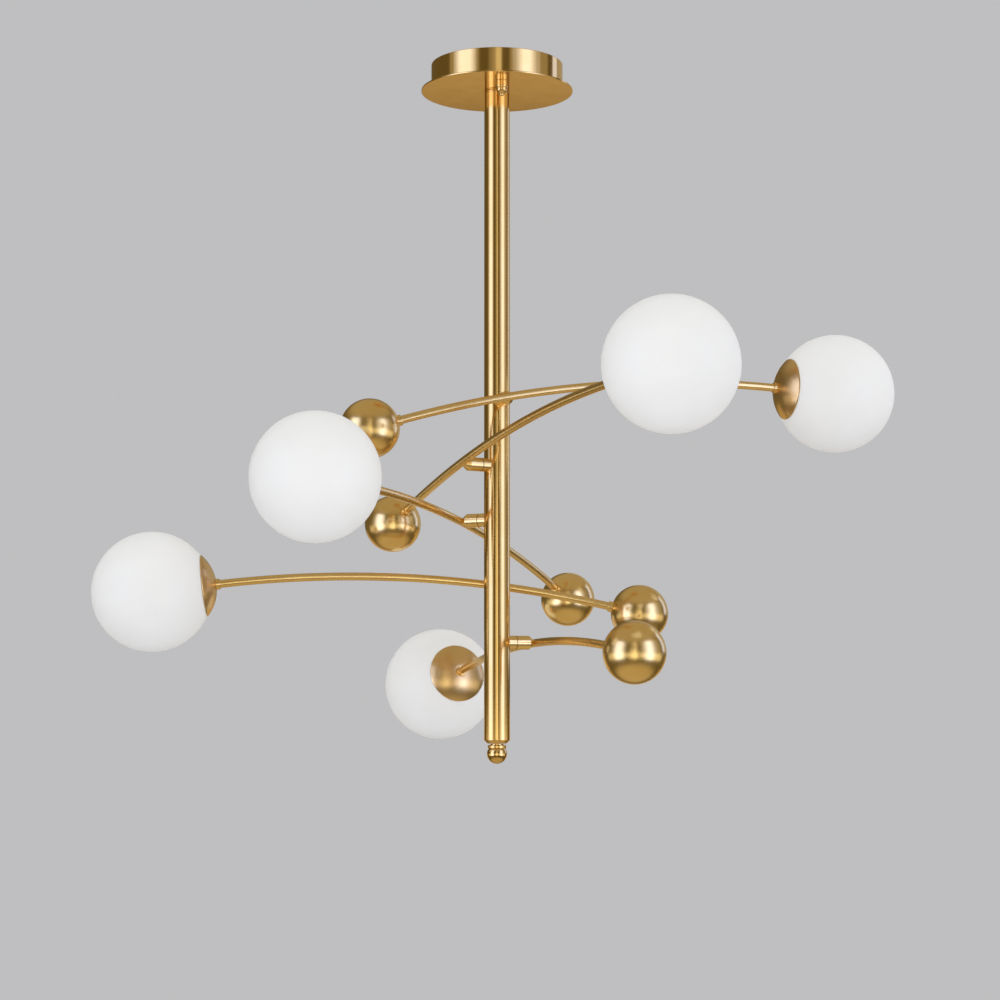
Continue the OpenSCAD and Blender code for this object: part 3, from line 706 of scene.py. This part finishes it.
# %% Sweep a circle along it and keep the grain
rail = bender.stored(rail, "length", length, "FLOAT")
rail = bender.node("GeometryNodeMeshToCurve", inputs={0: rail})
section = bender.node("GeometryNodeCurvePrimitiveCircle", {"mode": "RADIUS"}, {
    "Resolution": around, "Radius": thick})
section = bender.stored(section, "section", bender.node("GeometryNodeInputPosition"), "FLOAT_VECTOR")
skin = bender.node("GeometryNodeCurveToMesh", inputs={
    "Curve": rail, "Profile Curve": section, "Fill Caps": True})
flat, far = bender.recalled("section", "FLOAT_VECTOR"), bender.recalled("length", "FLOAT")
across, up = (bender.node("ShaderNodeSeparateXYZ", inputs={0: flat}, out=n) for n in range(2))
mark = bender.node("ShaderNodeCombineXYZ", inputs={0: across, 1: up, 2: far})
skin = bender.stored(skin, "grain", mark, "FLOAT_VECTOR")
skin = bender.node("GeometryNodeSetShadeSmooth", inputs={"Geometry": skin})
print("tree", len(bender.group.nodes), "nodes")

# %% [markdown]
# A drawn tube has its fine lines along its length, not round it, so its brass
# reads the angle round the tube closely and the length loosely.

# %% Mix the drawn brass
LINES_ROUND, LINES_ALONG, CLOUDS_ROUND, CLOUDS_ALONG = 1800.0, 30.0, 40.0, 25.0
TUBE_ROUGH, BY_CLOUDS, BY_LINES = 0.25, 0.10, 0.12
drawn = Finish("drawn_brass")
x, y, z = drawn.grain()
lines = drawn.noise(x * LINES_ROUND, y * LINES_ROUND, z * LINES_ALONG, roughness=0.6)
cloud = drawn.noise(x * CLOUDS_ROUND, y * CLOUDS_ROUND, z * CLOUDS_ALONG)
cloudy, lined = cloud - NOISE_MIDDLE, lines - NOISE_MIDDLE
drawn_brass = drawn.surface(
    Base_Color=drawn.blend(drawn.spread(cloud), (0.92, 0.66, 0.29, 1), (0.86, 0.59, 0.24, 1)),
    Metallic=1.0, Normal=drawn.bump(lines, 0.00003),
    Roughness=(TUBE_ROUGH + BY_CLOUDS * cloudy + BY_LINES * lined).clamped(0.05, ROUGHEST))
print("mixed", drawn_brass.name)

# %% Sweep the five tubes
bender.finish(skin, drawn_brass)
for i in ARMS:
    arm = added(f"arm_rod_{i}", bpy.data.meshes.new(f"arm_rod_{i}"))
    bender.apply(arm, {
        "Ball End": (ball_length(i) - BALL_STRAIGHT + BALL_FACE - TUBE_IN_BALL) * MM,
        "Globe End": (globe_length(i) + GLOBE_STRAIGHT - TUBE_OFF_GLOBE) * MM,
        "Bend Start": ball_length(i) * MM, "Bend End": globe_length(i) * MM,
        "Bend Radius": BEND_R * MM, "Tube Radius": TUBE_R * MM, "Sides": 48})
    arm.data.transform(at_pivot(i))
    joined(arm, f"arm_rod_{i}", f"arm_{i}", f"arm_tube_{i}")
    print("arm", i, len(arm.data.polygons), "faces")

# %% [markdown]
# ## The ends of the arms
# The ball is a turned sphere with a blind hole for the tube and a small flat
# for its collar. The dish is spun from sheet, with its edge turned square, and
# the same collar locks it on the tube. A sphere from the menu has its poles
# above and below, but here they must lie on the tube, where the lathe held the
# piece, or the fine lines would run the wrong way.


# %% Outlines of the collar, the ball and the dish
def collar_at(face):
    return [(END_HOLE_R, face), (COLLAR_R, face, 0.25), (COLLAR_R, face + COLLAR_L, 0.7),
            (END_HOLE_R, face + COLLAR_L)]


EDGE_TURN, EDGE_IN = 0.004, 0.15
flat_edge = math.asin(BALL_FLAT_R / BALL_R)
ball_outline = [(0, BALL_FACE - BALL_HOLE), (END_HOLE_R, BALL_FACE - BALL_HOLE), (END_HOLE_R, BALL_FACE),
                (COLLAR_R + 0.1, BALL_FACE), *arc(BALL_R, flat_edge, math.pi, 60)]
hole_edge, rim_edge = math.asin(DISH_FLAT_R / DISH_R), math.asin(DISH_RIM_R / DISH_R)
dish_outline = [(END_HOLE_R, DISH_FACE), *arc(DISH_R, hole_edge, rim_edge - EDGE_TURN, 28, DISH_CENTRE),
                on_circle(DISH_R - EDGE_IN, rim_edge, DISH_CENTRE),
                *arc(DISH_R - DISH_WALL, rim_edge, hole_edge, 28, DISH_CENTRE),
                (END_HOLE_R, DISH_FACE - DISH_WALL)]
print("ball outline", len(ball_outline), "points, dish outline", len(dish_outline))


# %% Turn the collars, the balls and the dishes
def merged(shape, other):
    spare = bpy.data.meshes.new("spare")
    other.to_mesh(spare)
    other.free()
    shape.from_mesh(spare)
    bpy.data.meshes.remove(spare)
    return shape


def collar_pair(i):
    pair = lathe(collar_at(DISH_FACE))
    bmesh.ops.transform(pair, matrix=at_globe(i), verts=pair.verts)
    other = lathe(collar_at(BALL_FACE))
    bmesh.ops.transform(other, matrix=at_ball(i), verts=other.verts)
    return merged(pair, other)


for i in ARMS:
    settle(collar_pair(i), f"collars_{i}", f"arm_{i}", f"arm_collars_{i}")
    settle(lathe(ball_outline, closed=False, sides=128), f"ball_{i}", f"arm_{i}",
           f"end_ball_{i}", at_ball(i))
    settle(lathe(dish_outline, sides=128), f"dish_{i}", f"arm_{i}",
           f"shade_dish_{i}", at_globe(i))
print("pieces so far", len(PIECES))

# %% [markdown]
# ## The globes
# An opal globe is blown glass with a white layer. It is a hollow sphere with a
# fire-rounded lip at its mouth, which the dish covers. Unlit, it reads as a
# smooth, slightly soft white, so its finish is a white body with a little light
# spread under the skin and a satin surface. One skin would look the same from
# outside, but the glass has a real thickness, so both of its skins are turned.

# %% Draw the globe and its lip
GLOBE_SHARP, GLOBE_STEPS = 60, 72
LIP = ((0.55, 0.8), (0.7, 1.3), (0.55, 1.9))
lip_out, lip_in = math.asin(MOUTH_R / GLOBE_R), math.asin(MOUTH_R / (GLOBE_R - GLASS))
lip_ring = [(MOUTH_R - inward, (GLOBE_R - deep) * math.cos(lip_out)) for inward, deep in LIP]
globe_outside = [*lip_ring[1::-1], *arc(GLOBE_R, lip_out, math.pi, GLOBE_STEPS)]
globe_inside = [*arc(GLOBE_R - GLASS, math.pi, lip_in, GLOBE_STEPS), *lip_ring[:0:-1]]
print("globe outline", len(globe_outside) + len(globe_inside), "points")


# %% Turn the globes
def globe_skin(outline, facing):
    skin = lathe(outline, closed=False, sides=160)
    for face in skin.faces:
        if face.normal.dot(face.calc_center_median()) * facing < 0:
            face.normal_flip()
    return skin


def globe_shell():
    shell = merged(globe_skin(globe_outside, 1), globe_skin(globe_inside, -1))
    bmesh.ops.remove_doubles(shell, verts=shell.verts, dist=SAME_POINT / 2)
    return shell


for i in ARMS:
    settle(globe_shell(), f"opal_globe_{i}", f"arm_{i}", f"globe_{i}", at_globe(i), GLOBE_SHARP)
print("globe", len(PIECES["opal_globe_1"].data.polygons), "faces")

# %% [markdown]
# The white of the glass isn't quite even: very faint clouds run through it, and
# the satin of the surface changes a little from place to place.

# %% Mix the opal glass
opal = Finish("opal_glass")
milk, fine = opal.speckle(14.0), opal.speckle(900.0, detail=2.0)
opal_glass = opal.surface(
    Base_Color=opal.blend(opal.spread(milk), (0.93, 0.93, 0.92, 1), (0.89, 0.89, 0.88, 1)),
    Roughness=opal.spread(milk, 0.42, 0.52), Normal=opal.bump(fine, 0.00001),
    Subsurface_Weight=0.35, Subsurface_Scale=0.004, Subsurface_Radius=(1, 1, 1), IOR=1.5,
    Specular_IOR_Level=0.2)
print("mixed", opal_glass.name)

# %% [markdown]
# ## Hidden fittings
# The bracket, the studs, the nuts and the clips are zinc plated steel; the
# connector is cream plastic, the wires are black, the lampholders are unglazed
# ceramic and the bulbs are white. They show only from above or with the glass
# off, but each still gets the finish of the real thing.

# %% Mix the zinc plate
zinc = Finish("zinc_plate")
haze = zinc.speckle(90.0)
spangle = zinc.node("ShaderNodeTexVoronoi", inputs={"Vector": zinc.place(), "Scale": 260.0}, out="Color")
patch = zinc.node("ShaderNodeRGBToBW", inputs={0: spangle})
zinc_plate = zinc.surface(
    Base_Color=zinc.blend(patch, (0.56, 0.57, 0.58, 1), (0.70, 0.71, 0.72, 1)), Metallic=1.0,
    Roughness=(0.28 + 0.2 * haze).clamped(), Normal=zinc.bump(haze, 0.00002))
print("mixed", zinc_plate.name)

# %% Mix the plastic, the insulation, the ceramic and the bulb glass
ROUGH_SWING = 0.06


def plain(name, light, dark, rough, scale, depth):
    finish = Finish(name)
    flecks = finish.speckle(scale)
    return finish.surface(
        Base_Color=finish.blend(finish.spread(flecks), light, dark), Normal=finish.bump(flecks, depth),
        Roughness=finish.spread(flecks, rough - ROUGH_SWING, rough + ROUGH_SWING))


cream_plastic = plain("cream_plastic", (0.82, 0.78, 0.68, 1), (0.76, 0.72, 0.62, 1),
                      rough=0.45, scale=700, depth=0.00003)
black_wire = plain("black_wire", (0.02, 0.02, 0.022, 1), (0.035, 0.035, 0.035, 1),
                   rough=0.5, scale=500, depth=0.00004)
ceramic = plain("ceramic", (0.85, 0.83, 0.78, 1), (0.80, 0.77, 0.71, 1),
                rough=0.6, scale=900, depth=0.00004)
bulb_glass = plain("bulb_glass", (0.92, 0.91, 0.88, 1), (0.88, 0.87, 0.84, 1),
                   rough=0.3, scale=300, depth=0.00001)
print("mixed", cream_plastic.name, black_wire.name, ceramic.name, bulb_glass.name)

# %% [markdown]
# ## Hand out the finishes
# Each piece gets its finish by name, apart from those that a tree made, which
# have theirs already. Engineering solids that stay as they are take theirs the
# same way.

# %% Give every other piece its finish
POLISHED = ("drum", "cover_disc", "stem", "stem_plug", "stem_foot", "finial_ball")
FROM_TREES = ("cap_nut", "swivel_saddles", "swivel_washers", "arm_rod")


def coat(piece, finish):
    piece.data.materials.clear()
    piece.data.materials.append(finish)


for name, piece in PIECES.items():
    if name in POLISHED:
        coat(piece, polished)
    elif name.startswith("opal_globe"):
        coat(piece, opal_glass)
    elif name.startswith("dish"):
        coat(piece, spun)
    elif not name.startswith(FROM_TREES):
        coat(piece, satin)

# %% Give the solids that stay theirs
HIDDEN = {"ceiling_bracket": zinc_plate, "bracket_studs": zinc_plate, "terminal_block": cream_plastic,
          "canopy_nut": zinc_plate, "wire_loom": black_wire, "swivel_nuts": zinc_plate}
for i in ARMS:
    HIDDEN.update({f"globe_clip_{i}": zinc_plate, f"lampholder_{i}": ceramic, f"bulb_{i}": bulb_glass})
for name, finish in HIDDEN.items():
    coat(NODES[name], finish)
print("finished", len(PIECES), "pieces and", len(HIDDEN), "solids")

# %% [markdown]
# ## The studio
# Brass shows what it reflects, so the studio is most of its look. Tall softboxes
# stand left and right of the camera and make the bright stripes, a dim panel
# behind the camera gives the tan between them, and the dark gaps make the brown
# lines. A low band across the front is mirrored by whatever faces down. A narrow
# strip and a wide dim panel stand behind the fixture on the right, and a low
# warm one behind it fills the underside of the disc.

# %% A floor that doesn't show in the brass
FLOOR_REACH, FLOOR_Z = 6.0, -2.0
PALE, DARKER = (0.72, 0.72, 0.73, 1), 0.97
paint = Finish("pale_floor")
floor_paint = paint.surface(
    Base_Color=paint.blend(paint.speckle(3.0, detail=2.0), PALE, (*(c * DARKER for c in PALE[:3]), 1)),
    Roughness=0.8)
floor_mesh = bpy.data.meshes.new("floor")
floor_mesh.from_pydata([(x * FLOOR_REACH, y * FLOOR_REACH, FLOOR_Z)
                        for x, y in ((-1, -1), (1, -1), (1, 1), (-1, 1))], [], [(0, 1, 2, 3)])
floor_mesh.materials.append(floor_paint)
floor = added("floor", floor_mesh)
floor.visible_glossy = False
floor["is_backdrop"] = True
print("floor at", FLOOR_Z, "m")

# %% [markdown]
# A softbox fades towards its edges, so each is made of a few nested panels
# whose light adds up where they overlap. A panel is given by the angles that it
# fills, counted round the stem from the camera, and by how bright it looks.
# The panels show only in reflections. The white glass is lit by the room, and
# by three soft lamps that throw no reflection.

# %% Panels on a circle round the stem
NESTED = 0.02


def lamp(name, width, height, radiance, colour, place, centre):
    light = bpy.data.lights.new(name, "AREA")
    light.shape, light.size, light.size_y = "RECTANGLE", width, height
    light.energy = radiance * math.pi * width * height
    light.color = colour
    made = added(name, light)
    made.location = place
    made.rotation_euler = (Vector(centre) - made.location).to_track_quat("-Z", "Y").to_euler()
    return made


def panel(name, steps, colour, low=-2.0, high=1.3, distance=3.0):
    level = (low + high) / 2
    for n, (start, end, radiance) in enumerate(steps):
        a = math.radians((start + end) / 2)
        far = distance + NESTED * n
        width = 2 * far * math.tan(math.radians(end - start) / 2)
        made = lamp(f"{name}_{n}", width, high - low, radiance, colour,
                    (far * math.sin(a), -far * math.cos(a), level), (0, 0, level))
        made.visible_diffuse = False


# %% Set up the panels
COOL, WARM, TAN = (0.84, 1.05, 2.0), (1.0, 0.71, 0.34), (1.0, 0.97, 0.86)
BACK_LOW = -0.7
panel("edge_left", [(-90, -31, 0.22)], TAN)
panel("softbox_left", [(-80, -36, 0.40), (-74, -40, 0.45), (-69, -45, 0.40)], COOL)
panel("edge_right", [(22, 99, 0.22)], TAN)
panel("softbox_right", [(27, 80, 0.24), (34, 71, 0.32), (39, 66, 0.38), (44, 61, 0.36)], COOL)
panel("panel_front", [(-14, 7, 0.16), (-8, 7.5, 0.10), (-2, 8, 0.40)], TAN)
panel("front_low", [(-14, 9, 0.45)], TAN, high=-0.3)
for side, start, end in (("left", -110, -36), ("middle", -36, 36), ("right", 36, 110)):
    panel("band_" + side, [(start, end, 0.55)], TAN, low=-1.9, high=-0.88, distance=3.2)
panel("strip_back", [(113, 128, 0.9)], COOL, low=BACK_LOW)
panel("panel_back", [(129, 178, 0.29)], TAN, low=BACK_LOW)
panel("glow_low", [(140, 220, 0.41)], WARM, low=-2.4, high=-0.8)
print("panels", len(bpy.data.lights))

# %% Set up the three soft lamps
# width, height, radiance and place
WHITE, MIDDLE = (1, 1, 1), (0, 0, -0.5)
LAMPS = {"key": (2.4, 2.4, 0.45, (-1.2, -3.4, 1.2)), "rim": (1.6, 2.4, 0.8, (3.0, 0.6, 0.4)),
         "under": (3.0, 2.0, 0.9, (0, -1.6, -1.95))}
for name, (width, height, radiance, place) in LAMPS.items():
    lamp(name, width, height, radiance, WHITE, place, MIDDLE).visible_glossy = False
print("lamps", list(LAMPS))

# %% [markdown]
# The room changes with the kind of ray. The camera sees a plain grey backdrop,
# white surfaces are lit by an even pale room, and reflections see a warm dark
# room that is lighter above and below than at eye level.

# %% The room behind
BACKDROP, PALE_ROOM = (0.52, 0.52, 0.53, 1), (0.88, 0.88, 0.88, 1)
DARK, LOW, HIGH = (0.13, 0.10, 0.04, 1), (0.52, 0.43, 0.27, 1), (0.40, 0.34, 0.22, 1)
STOPS = [(0.0, LOW), (0.1, LOW), (0.22, DARK), (0.72, DARK), (0.86, HIGH), (1.0, HIGH)]
world = bpy.data.worlds.new("studio")
world.use_nodes = True
bpy.context.scene.world = world
room = world.node_tree
room.nodes.clear()


def wall(colour):
    made = room.nodes.new("ShaderNodeBackground")
    if isinstance(colour, tuple):
        made.inputs["Color"].default_value = colour
    else:
        room.links.new(colour, made.inputs["Color"])
    return made.outputs[0]


def choose(share, one, other):
    made = room.nodes.new("ShaderNodeMixShader")
    for n, socket in enumerate((share, one, other)):
        room.links.new(socket, made.inputs[n])
    return made.outputs[0]


# %% A dark room that is lighter above and below
direction = room.nodes.new("ShaderNodeTexCoord")
split = room.nodes.new("ShaderNodeSeparateXYZ")
room.links.new(direction.outputs["Generated"], split.inputs[0])
height = room.nodes.new("ShaderNodeMapRange")
height.inputs["From Min"].default_value = -1.0
room.links.new(split.outputs["Z"], height.inputs["Value"])
ramp = room.nodes.new("ShaderNodeValToRGB")
room.links.new(height.outputs[0], ramp.inputs[0])
while len(ramp.color_ramp.elements) < len(STOPS):
    ramp.color_ramp.elements.new(1.0)
for stop, (place, colour) in zip(ramp.color_ramp.elements, STOPS):
    stop.position, stop.color = place, colour

# %% Choose the room by the kind of ray
ray = room.nodes.new("ShaderNodeLightPath")
unseen = choose(ray.outputs["Is Glossy Ray"], wall(PALE_ROOM), wall(ramp.outputs[0]))
seen = choose(ray.outputs["Is Camera Ray"], unseen, wall(BACKDROP))
end = room.nodes.new("ShaderNodeOutputWorld")
room.links.new(seen, end.inputs["Surface"])
bpy.context.scene.view_settings.view_transform = "Standard"
print("room", len(room.nodes), "nodes")

# %% [markdown]
# ## The box of the dressed piece
# The dressed piece must stay the size of the engineering model, so the box
# round everything that renders is printed.

# %% Print the box of everything that renders
low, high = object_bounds()
print("visual box", [round(v, 4) for v in (*low, *high)])
